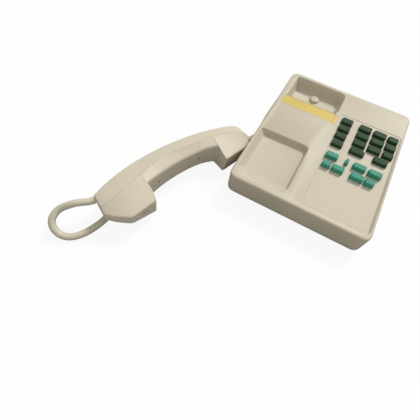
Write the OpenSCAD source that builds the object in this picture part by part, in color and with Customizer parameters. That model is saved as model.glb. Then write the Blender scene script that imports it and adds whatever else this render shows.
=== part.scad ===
// Push-button desk telephone. The top face slopes down to the front; the handset lies beside the base.
// Millimetres, +Z up, +Y to the back. Origin: under the middle of the base, on the surface it stands on.

/* [Base] */
// Width of the base
base_w = 195; // [193:1:200]
// Depth of the base
base_d = 238; // [237:1:242]
// Height of the top at the front edge
front_h = 38; // [37:0.5:40]
// Slope of the top, in degrees
pitch = 3.8; // [3.5:0.1:4.1]
// Radius of the upright corners
corner_r = 10; // [6:1:12]
// Height of the seam between the upper and lower shells
seam_z = 10.5; // [10:0.5:12]
// How far the lower shell draws in towards its floor
undercut = 5; // [3:0.5:6]
// Wall thickness of the base shells
wall = 2.5; // [2:0.1:2.8]

/* [Wells] */
// Depth of the rear well
rear_well_depth = 16; // [12:1:17]
// Depth of the front well
front_well_depth = 8; // [6:0.5:9]
// How far the hook plunger stands above the rear well's floor
hook_stand = 4; // [3:0.5:4.5]

/* [Keypad] */
// Extra slope of the keypad panel, in degrees
panel_tilt = 1.1; // [0.9:0.1:1.3]
// Depth of one key, front to back
key_depth = 10.5; // [9:0.5:11]
// Height of the dark keys above the panel
dark_stand = 5; // [4:0.5:6]
// Height of the teal keys above the panel
teal_stand = 6.5; // [5:0.5:7]
// Clearance round each key
key_gap = 0.35; // [0.25:0.05:0.4]

/* [Handset] */
// Length of the handset
hand_len = 230; // [228:1:231]
// Half width of the handset at its widest
hand_half = 22; // [20:0.5:22.5]
// Wall thickness of the handset shells
hand_wall = 2.2; // [1.8:0.1:2.5]
// Diameter of the handset cord
cord_d = 9; // [8:0.5:9]

/* [Hidden] */
$fn = 48;
foot_h = 2;
// keys, in the order back to front; x is the left edge and w the width, seen from above
row_y = [49.3, 33.6, 18, 2.3];
teal_y = [-22, -39.5];
col_1 = 5.2;
col_2 = 32.5;
col_3 = 54;
col_4 = 75.5;

// frames: the sloping top, the keypad panel on it, and the handset
top_mid_z = front_h + base_d / 2 * tan(pitch);
panel_x = [3.5, 92.3];
panel_y = [-107.5, 67.5];
panel_z = -2.25;
panel_mid_y = (panel_y[0] + panel_y[1]) / 2;
plate_t = 2;
hand_at = [-247, -224, 33.1];
hand_turn = [94.5, 2.5, 62.5];

module on_top() { translate([0, 0, top_mid_z]) rotate([pitch, 0, 0]) children(); }
module on_panel() { on_top() translate([0, panel_mid_y, panel_z]) rotate([panel_tilt, 0, 0]) children(); }
module on_hand() { translate(hand_at) rotate(hand_turn) children(); }

// a block given by its two corners
module span(a, b) { translate(a) cube(b - a); }

// upright slab with rounded corners, centred in plan
module slab(w, d, z0, z1, r) {
    translate([0, 0, z0]) linear_extrude(z1 - z0) {
        square([w - 2 * r, d], center = true);
        square([w, d - 2 * r], center = true);
        for (sx = [-1, 1], sy = [-1, 1]) translate([sx * (w / 2 - r), sy * (d / 2 - r)]) circle(r);
    }
}

module below_top(drop) { on_top() span([-200, -200, -120], [200, 200, -drop]); }

// ---- wells in the top, g thicker all round for the tub under each
rear_x = [-87, -5];
rear_y = [62, 112];
module rear_well(g = 0) {
    on_top() translate([0, rear_y[1] + g, 0]) rotate([90, 0, 0]) linear_extrude(rear_y[1] - rear_y[0] + 2 * g)
        polygon([[rear_x[0] - g, 1], [rear_x[0] - g, 0], [rear_x[0] + 4 - g, -rear_well_depth - g],
            [rear_x[1] - 3 + g, -rear_well_depth - g], [rear_x[1] + g, 0], [rear_x[1] + g, 1]]);
}

front_rim = [[-93, -20], [-19, -18.5], [-19.5, -99], [-26, -108.5], [-82, -112.5], [-93, -98]];
front_floor = [[-84.5, -21], [-20, -19.5], [-20.5, -96], [-26.5, -104], [-77.5, -105], [-84.5, -93]];
front_mid = [-52, -62];
function grown(p, g) = [for (q = p) q + [sign(q[0] - front_mid[0]) * g, sign(q[1] - front_mid[1]) * g]];
module front_well(g = 0) {
    on_top() hull() {
        linear_extrude(1) polygon(grown(front_rim, g));
        translate([0, 0, -front_well_depth - g]) linear_extrude(1) polygon(grown(front_floor, g));
    }
}

// ---- the slope that falls from the ridge to the keypad panel
ridge = [[-6, 65, 0], [-18, -19, 0], [-6, -112, 0], [3.6, -112, -4], [3.6, 68, -0.4]];
module ridge_slope() {
    up = [for (q = ridge) [q[0], q[1], 5]];
    on_top() polyhedron(concat(ridge, up), [[1, 4, 0], [3, 4, 1], [2, 3, 1],
        [9, 8, 7, 6, 5], [5, 6, 1, 0], [6, 7, 2, 1], [7, 8, 3, 2], [8, 9, 4, 3], [9, 5, 0, 4]]);
}

// ---- base shells
boss_xy = [for (sx = [-1, 1], sy = [-1, 1]) [sx * 82, sy * 104]];
socket_x = -55;
line_x = 40;
socket_z = 18;
strip_x = [-90, -6.5];
strip_y = [42, 61];
strip_t = 1;
hook_xy = [-47, 92];
hook_r = 7;
ledge = 5;
plate_half_y = (panel_y[1] - panel_y[0]) / 2;

module sockets_cut() {
    for (x = [socket_x, line_x])
        span([x - 7, base_d / 2 - 20, socket_z - 6.5], [x + 7, base_d / 2 + 5, socket_z + 6.5]);
}

module upper_shell() color("#cec5b1") difference() {
    union() {
        difference() {
            intersection() {
                slab(base_w, base_d, seam_z, 80, corner_r);
                below_top(0);
            }
            intersection() {
                slab(base_w - 2 * wall, base_d - 2 * wall, seam_z - 1, 80, corner_r - wall);
                below_top(wall);
            }
        }
        // what stands inside: tubs of the wells, the panel's seat and the screw bosses
        intersection() {
            slab(base_w - 2, base_d - 2, seam_z, 80, corner_r - 1);
            below_top(1);
            union() {
                rear_well(wall);
                front_well(wall);
                on_panel()
                    span([panel_x[0] - 2.6, -plate_half_y - 2.6, -plate_t - 2],
                        [panel_x[1] + 4, plate_half_y + 3, 1]);
                on_top() span([-15, -113, -6.5], [4, 58, 0]);
                for (p = boss_xy) translate([p[0], p[1], seam_z]) cylinder(h = 40, r = 4);
            }
        }
    }
    rear_well();
    front_well();
    ridge_slope();
    on_panel() span([panel_x[0], -plate_half_y, -plate_t], [panel_x[1], plate_half_y, 20]);
    on_panel()
        span([panel_x[0] + 0.4, ledge - plate_half_y + 3, -40], [panel_x[1] - 1.2, plate_half_y - ledge, 5]);
    on_top() span([strip_x[0], strip_y[0], -strip_t], [strip_x[1], strip_y[1], 1]);
    on_top() translate([hook_xy[0], hook_xy[1], -40]) cylinder(h = 40, r = hook_r + 0.4);
    sockets_cut();
    for (p = boss_xy) translate([p[0], p[1], seam_z - 1]) cylinder(h = 11, r = 1.6);
}

ringer_xy = [48, -76];
keyhole_y = 45;
module lower_shell() color("#bdb49c") difference() {
    union() {
        difference() {
            hull() {
                slab(base_w, base_d, seam_z - 1, seam_z, corner_r);
                slab(base_w - 2 * undercut, base_d - 2 * undercut, foot_h, foot_h + 1, corner_r - 2);
            }
            hull() {
                slab(base_w - 2 * wall, base_d - 2 * wall, seam_z, seam_z + 1, corner_r - wall);
                slab(base_w - 2 * (undercut + wall), base_d - 2 * (undercut + wall), foot_h + wall,
                    foot_h + wall + 1, 6);
            }
        }
        for (p = boss_xy) translate([p[0], p[1], foot_h]) cylinder(h = seam_z - foot_h, r = 5);
        for (p = board_posts) translate([p[0], p[1], foot_h + 1]) cylinder(h = board_z - foot_h - 1, r = 3);
    }
    for (p = boss_xy) translate([p[0], p[1], 0]) {
        cylinder(h = seam_z + 2, r = 1.7);
        cylinder(h = foot_h + 3, r = 3.75);
    }
    for (p = feet_xy) translate([p[0], p[1], 0]) cylinder(h = foot_h + 1, r = 7);
    for (sy = [-1, 1]) translate([0, sy * keyhole_y, 0]) cylinder(h = 12, r = 3.5);
    for (a = [0 : 45 : 315])
        translate([ringer_xy[0], ringer_xy[1], 0]) rotate([0, 0, a]) translate([12, 0, 0])
            cylinder(h = 12, r = 2);
    sockets_cut();
}

feet_xy = [[-62, -100], [62, -100], [0, 0], [-62, 100], [62, 100]];
module rubber_feet() color("#2b2b2b") for (p = feet_xy)
    translate([p[0], p[1], 0]) cylinder(h = foot_h + 1, r = 7);

module case_screws() color("silver") for (p = boss_xy) translate([p[0], p[1], foot_h + 0.6]) {
    difference() {
        cylinder(h = 2.4, r = 3);
        translate([-2.5, -0.4, -1]) cube([5, 0.8, 1.8]);
    }
    translate([0, 0, 2.3]) cylinder(h = 12, r = 1.5);
}

// ---- boards and what stands on them
board_z = 10;
board_t = 1.6;
board_x = [-75, 76];
board_y = [54, 115];
board_posts = [[-68, 62], [-68, 100], [72, 62], [72, 98], [14, 62], [14, 98]];
module main_board() color("#2f6b3a") {
    span([board_x[0], board_y[0], board_z], [board_x[1], board_y[1], board_z + board_t]);
    for (i = [0 : 5]) span([-26 + 15 * i, 66, board_z + board_t], [-18 + 15 * i, 72, board_z + board_t + 3]);
    for (i = [0 : 2]) translate([12 + 22 * i, 84, board_z + board_t]) cylinder(h = 9, r = 4);
}

module jack(x) difference() {
    span([x - 6.8, base_d / 2 - 17, board_z + board_t], [x + 6.8, base_d / 2 - 0.4, socket_z + 6.4]);
    span([x - 5, base_d / 2 - 14, socket_z - 4], [x + 5, base_d / 2 + 1, socket_z + 4]);
    span([x - 2, base_d / 2 - 14, socket_z + 3], [x + 2, base_d / 2 + 1, socket_z + 5.2]);
}
module handset_socket() color("#1f1f1f") jack(socket_x);
module line_socket() color("#1f1f1f") jack(line_x);

module ballast_plate() color("#8a8d90") span([-82, -70, foot_h + wall], [-16, 32, foot_h + wall + 3]);

module ringer() color("#3a3a3a") translate([ringer_xy[0], ringer_xy[1], foot_h + wall]) difference() {
    union() {
        cylinder(h = 14, r = 20);
        cylinder(h = 4, r = 23);
    }
    translate([0, 0, -1]) cylinder(h = 5, r = 15);
}

switch_h = 10.5;
module hook_switch() color("#20242a") translate([hook_xy[0], hook_xy[1], board_z + board_t]) {
    span([-11, -8, 0], [11, 8, switch_h]);
    translate([0, 0, switch_h]) cylinder(h = actuator_h, r = 1.6);
}

// hook plunger: a domed button in the rear well, its flange under the tub and a stem down to the switch
tub_under = -rear_well_depth - wall;
flange_under = tub_under - 1.7;
hook_travel = 3.5;
actuator_h = 1.2;
switch_top = (board_z + board_t + switch_h - top_mid_z - hook_xy[1] * sin(pitch)) / cos(pitch);
stem_end = switch_top + actuator_h + hook_travel + 0.5;
module hook_plunger() color("#c5bca6") on_top() translate([hook_xy[0], hook_xy[1], 0]) {
    translate([0, 0, tub_under - 0.2]) cylinder(h = wall + hook_stand - 1.3, r = hook_r);
    translate([0, 0, -rear_well_depth + hook_stand - 1.5]) cylinder(h = 1.5, r1 = hook_r, r2 = hook_r - 1.5);
    translate([0, 0, flange_under]) cylinder(h = 1.5, r = hook_r + 2.5);
    translate([0, 0, stem_end]) cylinder(h = flange_under - stem_end + 0.5, r = 2.5);
}

function coil(turns, r, z0, z1, a) = [r * cos(a * 360 * turns), r * sin(a * 360 * turns), z0 + (z1 - z0) * a];
module hook_spring() color("silver") on_top() translate([hook_xy[0], hook_xy[1], 0]) {
    n = 72;
    path = [for (i = [0 : n]) coil(5, 5, flange_under - 0.45, switch_top + 0.9, i / n)];
    sweep(path, 0.4, 6);
}

// ---- keypad
module keypad_plate() color("#a89f89") on_panel() difference() {
    union() {
        span([panel_x[0] + 0.2, 0.2 - plate_half_y, -plate_t], [panel_x[1] - 0.2, plate_half_y - 0.2, 0]);
        for (p = plate_posts) translate([p[0], p[1] - panel_mid_y, -mat_z]) cylinder(h = mat_z - 1, r = 1.8);
    }
    for (k = KEYS) key_box(k, -5, 5, key_gap);
}

// name, left edge, width, y of the front edge, depth, height above the panel, colour
function dark(n, x, w, row) = [n, x, w, row_y[row], key_depth, dark_stand, "#3a5037"];
function teal(n, x, w, row) = [n, x, w, teal_y[row], key_depth - 1.5, teal_stand, "#4e9e87"];
KEYS = [
    dark("key_a1", col_1, 16.5, 0), dark("key_a2", col_2, 18, 0),
    dark("key_a3", col_3, 18.5, 0), dark("key_a4", col_4, 14.3, 0),
    dark("key_b1", col_1, 16.5, 1), dark("key_b2", col_2, 18, 1),
    dark("key_b3", col_3, 18.5, 1), dark("key_b4", col_4, 14.3, 1),
    dark("key_c1", col_1, 16, 2), dark("key_c2", col_2, 18, 2),
    dark("key_c3", col_3, 18.5, 2), dark("key_c4", col_4, 14.3, 2),
    dark("key_d1", col_1, 16, 3), dark("key_d2", col_2, 20.5, 3), dark("key_d3", 66.5, 19.5, 3),
    teal("key_e1", col_1, 17.2, 0), teal("key_e2", 33.2, 4.3, 0),
    teal("key_e3", 44.7, 17.6, 0), teal("key_e4", 66.3, 18, 0),
    teal("key_f1", 6, 11.8, 1), teal("key_f2", 20.2, 16, 1),
    teal("key_f3", 46.1, 18.1, 1), teal("key_f4", 66.3, 12.6, 1)];
plate_posts = [[27.2, 47.7], [27.2, 15.7], [27.2, -5], [73.9, -5], [41.5, -25.9], [88, -25.9]];
mat_z = 9.1;
mat_t = 0.8;
keypad_under = -mat_z - mat_t - board_t;
mat_y = [-46, 65];

module key_box(k, z0, z1, g = 0) {
    span([k[1] - g, k[3] - panel_mid_y - g, z0], [k[1] + k[2] + g, k[3] + k[4] - panel_mid_y + g, z1]);
}

module key(i) {
    k = KEYS[i];
    color(k[6]) on_panel() {
        key_box(k, -3, k[5]);
        key_box(k, -3.2, -2.2, 0.9);
        translate([k[1] + k[2] / 2, k[3] + k[4] / 2 - panel_mid_y, -5.9]) cylinder(h = 3, r = 1.7);
    }
}

module key_mat() color("#55585c") on_panel() difference() {
    span([4.5, mat_y[0] - panel_mid_y, -mat_z - mat_t], [91, mat_y[1] - panel_mid_y, -mat_z]);
    for (p = plate_posts) translate([p[0], p[1] - panel_mid_y, -20]) cylinder(h = 20, r = 2.2);
}

module keypad_board() color("#2f6b3a") on_panel() difference() {
    span([4.5, mat_y[0] - panel_mid_y, keypad_under], [91, mat_y[1] - panel_mid_y, -mat_z - mat_t]);
    for (p = plate_posts) translate([p[0], p[1] - panel_mid_y, -20]) cylinder(h = 20, r = 1.2);
}

module index_strip() color("#dec85f") on_top()
    span([strip_x[0] + 0.1, strip_y[0] + 0.1, -strip_t], [strip_x[1] - 0.1, strip_y[1] - 0.1, 0]);

// flat cable between the two boards, with a header at each end
module ribbon_cable() color("#9aa0a6") {
    translate([36, 0, 0]) rotate([90, 0, 90]) linear_extrude(22) difference() {
        translate([60, 25.5]) circle(10.5);
        translate([60, 25.5]) circle(9.9);
        translate([60, 10]) square([20, 40]);
    }
    on_panel() span([35, 78, keypad_under - 3], [59, 83, keypad_under]);
    span([35, 58, board_z + board_t], [59, 63, board_z + board_t + 4]);
}

// ---- handset, in its own frame: u along it from the mouth end, v across, w from the back to the cups
function part_w(u) =
    21.5 + 13.75 * (1 + cos(180 * min(u, 118) / 118)) + 0.0042 * pow(max(u - 165, 0), 2);
function back_w(u) = 0.0014 * pow(u - 138, 2) + 0.002 * pow(max(u - 205, 0), 2);
function under_w(u) = 33.5 + 0.0019 * pow(max(150 - u, 0), 2) + 0.006 * pow(max(u - 150, 0), 2);
cup_in = 62;
ear_in = 177;
chin = [[0, 58], [9, 67], [26, 78], [cup_in, 73]];
ear_cup = [[ear_in, 60], [213, 54], [224, 48.5], [hand_len, 44]];
// half widths along the handset: at the seam, and at the cups' faces and the grip's underside
seam_plan = [[0, 10], [6, 13], [15, 16.2], [30, 19.5], [50, hand_half - 0.4], [70, hand_half],
    [180, hand_half], [206, hand_half - 0.3], [221, hand_half - 1.3], [227, 18.5], [hand_len, 14.5]];
face_plan = [[0, 7], [27, 8.5], [cup_in, 14.5], [cup_in + 0.1, 19.3], [90, 16.5], [140, 15.8],
    [ear_in - 0.1, 18],
    [ear_in, 14], [213, 13.5], [224, 12], [hand_len, 9.5]];
back_share = 0.6;

// front shell: trapezoid sections along the handset, drawn in by g
function front_ring(u, w, g) = let (seam_v = lookup(u, seam_plan) - g, face_v = lookup(u, face_plan) - g * 0.8,
    seam_w = part_w(u) - (g > 0 ? 2 : 0))
    [[u, -face_v, w], [u, face_v, w], [u, seam_v, seam_w], [u, -seam_v, seam_w]];
grip_n = 12;
function mouth_end_u(g) = [g, 4, 9, 17, 26, 35, 44, 53, cup_in - g];
function grip_u(g) = [for (i = [0 : grip_n]) cup_in - g + 0.1 + (ear_in - cup_in + 2 * g - 0.2) * i / grip_n];
function ear_end_u(g) = [ear_in + g, 190, 203, 213, 221, 226, hand_len - g];
module front_solid(g) skin(concat(
    [for (u = mouth_end_u(g)) front_ring(u, lookup(u, chin) - g, g)],
    [for (u = grip_u(g)) front_ring(u, under_w(u) - g, g)],
    [for (u = ear_end_u(g)) front_ring(u, lookup(u, ear_cup) - g, g)]));

// back shell: trapezoid sections along the handset, drawn in by g
function back_ring(u, g) = let (seam_w = part_w(u) + (g > 0 ? 0.5 : 0), seam_v = lookup(u, seam_plan) - g,
    back_v = (seam_v + g) * back_share - g * 0.8)
    [[u, -seam_v, seam_w], [u, seam_v, seam_w], [u, back_v, back_w(u) + g], [u, -back_v, back_w(u) + g]];
module back_solid(g) skin([for (u = concat(mouth_end_u(g), grip_u(g), ear_end_u(g))) back_ring(u, g)]);

// closed skin over a list of rings with the same number of points
module skin(rings) {
    m = len(rings[0]);
    n = len(rings);
    pts = [for (r = rings) each r];
    quads = [for (i = [0 : n - 2], j = [0 : m - 1])
        [i * m + j, i * m + (j + 1) % m, (i + 1) * m + (j + 1) % m, (i + 1) * m + j]];
    tris = [for (q = quads) each [[q[0], q[1], q[2]], [q[0], q[2], q[3]]]];
    polyhedron(pts, concat(tris, [[for (j = [m - 1 : -1 : 0]) j]], [[for (j = [0 : m - 1]) (n - 1) * m + j]]));
}

screw_u = [82, 150];
mic_u = 44;
mic_lean = atan((chin[2][1] - chin[3][1]) / (chin[3][0] - chin[2][0]));
ear_u = 199;
ear_lean = atan((ear_cup[0][1] - ear_cup[1][1]) / (ear_cup[1][0] - ear_in));
ear_r = 9.5;
gland_u = 2;
gland_w = 31;
gland_lean = 10;
gland_len = 6;
module on_mic() translate([mic_u, 0, lookup(mic_u, chin) - hand_wall]) rotate([0, mic_lean, 0]) children();
module on_ear() translate([ear_u, 0, lookup(ear_u, ear_cup) - hand_wall]) rotate([0, ear_lean, 0]) children();
module on_gland() translate([gland_u, 0, gland_w]) rotate([0, -90 - gland_lean, 0]) children();

module sound_holes(r) for (i = [0 : 6]) rotate([0, 0, i * 60])
    translate([i == 6 ? 0 : r, 0, -6]) cylinder(h = 12, r = 1.2);

module handset_front_shell() color("#e1d7c4") on_hand() difference() {
    union() {
        difference() {
            front_solid(0);
            front_solid(hand_wall);
        }
        intersection() {
            front_solid(0);
            for (u = screw_u) translate([u, 0, 10]) cylinder(h = 50, r = 3.5);
        }
    }
    on_mic() sound_holes(4.6);
    on_ear() sound_holes(6);
    for (u = screw_u) translate([u, 0, 0]) {
        cylinder(h = 60, r = 1.4);
        translate([0, 0, under_w(u) - 2]) cylinder(h = 10, r = 2.7);
    }
    on_gland() cylinder(h = 20, r = 3.6, center = true);
}

module handset_back_shell() color("#d8cfbb") on_hand() difference() {
    union() {
        difference() {
            back_solid(0);
            back_solid(hand_wall);
        }
        intersection() {
            back_solid(0);
            for (u = screw_u) translate([u, 0, 0]) cylinder(h = 40, r = 3.5);
        }
    }
    for (u = screw_u) translate([u, 0, part_w(u) - 12]) cylinder(h = 14, r = 1.2);
    on_gland() cylinder(h = 20, r = 3.6, center = true);
}

module handset_screws() color("silver") on_hand() for (u = screw_u) translate([u, 0, under_w(u) - 2]) {
    cylinder(h = 1.6, r = 2.5);
    translate([0, 0, -20]) cylinder(h = 20.1, r = 1.1);
}

module capsule(r, h) difference() {
    translate([0, 0, -h]) cylinder(h = h, r = r);
    translate([0, 0, -1]) cylinder(h = 2, r = r - 2);
}
module microphone() color("#2a2a2a") on_hand() on_mic() translate([0, 0, -2]) capsule(8, 7);
module receiver() color("#2a2a2a") on_hand() on_ear() translate([0, 0, -2]) capsule(ear_r, 11);
module seal(r) difference() {
    translate([0, 0, -2]) cylinder(h = 2, r = r);
    translate([0, 0, -3]) cylinder(h = 4, r = r - 2.5);
}
module mic_seal() color("#4a4a48") on_hand() on_mic() seal(8);
module receiver_seal() color("#4a4a48") on_hand() on_ear() seal(ear_r);
module handset_weight() color("#8a8d90") on_hand() span([92, -8, 21], [140, 8, 31]);

module cord_gland() color("#d5ccb8") on_hand() on_gland() {
    translate([0, 0, -4]) cylinder(h = 8.7, r = 3.5);
    translate([0, 0, 3.4]) cylinder(h = gland_len - 3.4, r1 = 5.6, r2 = 4.9);
}

module handset_leads() color("#b03a2e") on_hand()
    sweep([[12, 0, 44], [20, 3, 50], [34, 5, 56], [50, 8, 45], [66, 9.5, 34], [82, 9.5, 29], [100, 10.5, 27],
        [125, 10.5, 26], [150, 9.5, 25], [170, 6, 27], [184, 3, 31], [197.3, 0, 40]], 0.8, 6);

// ---- cord: its middle line from the gland to the plug
cord_r = cord_d / 2;
floor_z = cord_r + 0.1;
cord_route = [
    [-222.6, -241.65, 30.95], [-224.8, -244.5, 31.1], [-229.7, -249.5, 32.2], [-237.7, -257, 32.1],
    [-250.3, -268.8, 25.8], [-252.6, -281, 20.4], [-247.6, -288.8, 13.5], [-237, -290.8, 7],
    [-224.6, -285.2, floor_z], [-214, -270.6, floor_z], [-207.6, -250, floor_z],
    [-206.6, -229.1, floor_z], [-207, -206, floor_z], [-206, -180, floor_z], [-200, -151, floor_z],
    [-189, -121, floor_z], [-176, -89, floor_z], [-165.5, -62, floor_z], [-158.5, -46, floor_z],
    [-151.5, -34.5, floor_z], [-142, -27.5, floor_z], [-128.3, -24.4, floor_z], [-117.3, -21.1, floor_z],
    [-109, -14.5, floor_z], [-101.8, -0.7, floor_z], [-101, 15.7, floor_z], [-103.5, 50, floor_z],
    [-103.5, 100, floor_z], [-102.5, 145, floor_z], [-95, 167, floor_z], [-78, 180, floor_z],
    [-50, 185, floor_z], [-24, 186, floor_z], [-8, 186.3, floor_z], [6, 186.3, floor_z],
    [19, 185.8, floor_z], [29.2, 182.6, floor_z], [35.7, 174.1, floor_z], [36.2, 163.4, floor_z],
    [30.4, 154.4, floor_z], [20.6, 150.3, floor_z], [9, 149.8, 4.8], [-3, 150.3, 5.8], [-15, 151, 8],
    [-27, 151.8, 11.6], [-37.5, 152, 15], [-46.3, 149.7, 16.9], [-52.7, 143.2, 17.9], [-55, 134.5, 18],
    [-55, 129.5, 18]];

// curve through the route's points, k steps a stretch
function spline(p, i, t) =
    let (a = p[max(i - 1, 0)], b = p[i], c = p[i + 1], d = p[min(i + 2, len(p) - 1)])
    b + (c - a) * t / 2 + (2 * a - 5 * b + 4 * c - d) * t * t / 2 + (3 * b - a - 3 * c + d) * t * t * t / 2;
function smooth(p, k) =
    concat([for (i = [0 : len(p) - 2], j = [0 : k - 1]) spline(p, i, j / k)], [p[len(p) - 1]]);

// round tube swept along a list of points
function unit(v) = v / norm(v);
function heading(p, i) = unit(p[min(i + 1, len(p) - 1)] - p[max(i - 1, 0)]);
function ring(c, dir, r, n) =
    let (side = unit(cross(dir, abs(dir[2]) > 0.9 ? [0, 1, 0] : [0, 0, 1])), rise = cross(side, dir))
    [for (j = [0 : n - 1]) c + r * (cos(360 * j / n) * side + sin(360 * j / n) * rise)];
module sweep(path, r, n) skin([for (i = [0 : len(path) - 1]) ring(path[i], heading(path, i), r, n)]);

module handset_cord() color("#d6cdb9") sweep(smooth(cord_route, 2), cord_r, 12);

module handset_plug() color("#d6cdb9") translate([socket_x, 0, socket_z]) {
    span([-4.8, base_d / 2 - 10, -3.8], [4.8, base_d / 2 + 3, 3.8]);
    translate([0, base_d / 2 + 3, 0]) rotate([-90, 0, 0]) cylinder(h = 8, r1 = 5.8, r2 = 5);
}

upper_shell();
lower_shell();
keypad_plate();
index_strip();
rubber_feet();
case_screws();
main_board();
keypad_board();
key_mat();
ribbon_cable();
ringer();
hook_switch();
hook_spring();
line_socket();
handset_socket();
ballast_plate();
hook_plunger();
for (i = [0 : len(KEYS) - 1]) key(i);
handset_back_shell();
handset_front_shell();
microphone();
mic_seal();
receiver();
receiver_seal();
handset_weight();
handset_screws();
cord_gland();
handset_leads();
handset_cord();
handset_plug();
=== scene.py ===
import bpy, bmesh, math
from mathutils import Matrix, Vector, bvhtree, geometry


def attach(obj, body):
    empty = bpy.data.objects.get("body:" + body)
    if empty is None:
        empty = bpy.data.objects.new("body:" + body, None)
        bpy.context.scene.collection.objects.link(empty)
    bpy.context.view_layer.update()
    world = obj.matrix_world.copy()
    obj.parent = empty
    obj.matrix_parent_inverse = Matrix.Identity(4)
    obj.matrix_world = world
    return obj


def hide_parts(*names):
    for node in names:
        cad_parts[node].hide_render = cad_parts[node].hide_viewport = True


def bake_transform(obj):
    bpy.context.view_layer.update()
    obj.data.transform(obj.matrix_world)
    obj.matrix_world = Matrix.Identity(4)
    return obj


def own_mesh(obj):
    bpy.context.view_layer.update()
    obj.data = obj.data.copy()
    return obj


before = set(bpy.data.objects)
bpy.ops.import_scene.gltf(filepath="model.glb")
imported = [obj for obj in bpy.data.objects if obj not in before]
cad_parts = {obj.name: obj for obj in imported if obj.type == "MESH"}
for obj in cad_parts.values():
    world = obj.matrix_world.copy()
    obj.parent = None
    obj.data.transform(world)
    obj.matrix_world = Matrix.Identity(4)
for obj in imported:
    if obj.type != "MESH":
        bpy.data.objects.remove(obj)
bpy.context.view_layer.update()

# ---------------------------------------------------------------- camera, floor and lamps
# A plain pale table top, one soft lamp high behind and a little to the right, and an even sky.
view_point = Vector((-0.0213, -0.3561, 0.3527))
view_right, view_up = Vector((0.8713, 0.4845, 0.0788)), Vector((-0.4531, 0.7321, 0.5086))
view_back = Vector((0.1887, -0.4788, 0.8574))
lens_length, film_width = 25.714, 36
lamp_strength, lamp_spread, lamp_from = 1.95, math.radians(12), Vector((0.22, 0.78, 0.86))
sky_strength, floor_reach = 0.5, 6
camera_data = bpy.data.cameras.new("camera")
camera_data.sensor_width = film_width
camera_data.lens = lens_length
camera_data.clip_start = 0.01
camera = bpy.data.objects.new("camera", camera_data)
view_turn = Matrix([a.normalized() for a in (view_right, view_up, view_back)]).transposed().to_4x4()
camera.matrix_world = Matrix.Translation(view_point) @ view_turn
bpy.context.scene.collection.objects.link(camera)
bpy.context.scene.camera = camera
bpy.context.scene.view_settings.view_transform = "Standard"


def material(name):
    m = bpy.data.materials.new(name)
    m.use_nodes = True
    m.node_tree.nodes.clear()
    return m, m.node_tree.nodes, m.node_tree.links


sky = bpy.data.worlds.new("sky")
bpy.context.scene.world = sky
sky.use_nodes = True
sky_nodes, sky_links = sky.node_tree.nodes, sky.node_tree.links
sky_nodes.clear()
sky_ray = sky_nodes.new("ShaderNodeLightPath")
sky_seen = sky_nodes.new("ShaderNodeMath")
sky_seen.operation = "MAXIMUM"
sky_links.new(sky_ray.outputs["Is Camera Ray"], sky_seen.inputs[0])
sky_links.new(sky_ray.outputs["Is Transmission Ray"], sky_seen.inputs[1])
sky_plain = sky_nodes.new("ShaderNodeBackground")
sky_plain.inputs["Strength"].default_value = sky_strength
sky_white = sky_nodes.new("ShaderNodeBackground")
sky_white.inputs["Strength"].default_value = 1.0
for b in (sky_plain, sky_white):
    b.inputs["Color"].default_value = (1, 1, 1, 1)
sky_mix = sky_nodes.new("ShaderNodeMixShader")
sky_out = sky_nodes.new("ShaderNodeOutputWorld")
sky_links.new(sky_seen.outputs[0], sky_mix.inputs[0])
sky_links.new(sky_plain.outputs[0], sky_mix.inputs[1])
sky_links.new(sky_white.outputs[0], sky_mix.inputs[2])
sky_links.new(sky_mix.outputs[0], sky_out.inputs[0])

floor_mat, nodes, links = material("table_top")
floor_ray = nodes.new("ShaderNodeLightPath")
floor_share = nodes.new("ShaderNodeMath")
floor_share.operation = "MULTIPLY"
floor_share.inputs[1].default_value = 0.9
links.new(floor_ray.outputs["Is Camera Ray"], floor_share.inputs[0])
floor_matt = nodes.new("ShaderNodeBsdfDiffuse")
floor_tone = nodes.new("ShaderNodeMix")
floor_tone.data_type = "RGBA"
floor_tone.inputs["A"].default_value = (0.33, 0.32, 0.3, 1)
floor_tone.inputs["B"].default_value = (0.95, 0.95, 0.95, 1)
links.new(floor_ray.outputs["Is Camera Ray"], floor_tone.inputs["Factor"])
links.new(floor_tone.outputs["Result"], floor_matt.inputs["Color"])
floor_pale = nodes.new("ShaderNodeEmission")
floor_pale.inputs["Strength"].default_value = 1.0
floor_mix = nodes.new("ShaderNodeMixShader")
links.new(floor_share.outputs[0], floor_mix.inputs[0])
links.new(floor_matt.outputs[0], floor_mix.inputs[1])
links.new(floor_pale.outputs[0], floor_mix.inputs[2])
floor_out = nodes.new("ShaderNodeOutputMaterial")
links.new(floor_mix.outputs[0], floor_out.inputs[0])

floor_mesh = bpy.data.meshes.new("table_top")
floor_corners = [(x * floor_reach, y * floor_reach, 0) for x, y in ((-1, -1), (1, -1), (1, 1), (-1, 1))]
floor_mesh.from_pydata(floor_corners, [], [(0, 1, 2, 3)])
floor = bpy.data.objects.new("table_top", floor_mesh)
floor_mesh.materials.append(floor_mat)
bpy.context.scene.collection.objects.link(floor)

lamp_data = bpy.data.lights.new("lamp", "SUN")
lamp_data.energy = lamp_strength
lamp_data.angle = lamp_spread
lamp_data.color = (1, 0.985, 0.955)
lamp = bpy.data.objects.new("lamp", lamp_data)
lamp.rotation_euler = lamp_from.to_track_quat("Z", "Y").to_euler()
bpy.context.scene.collection.objects.link(lamp)


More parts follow.
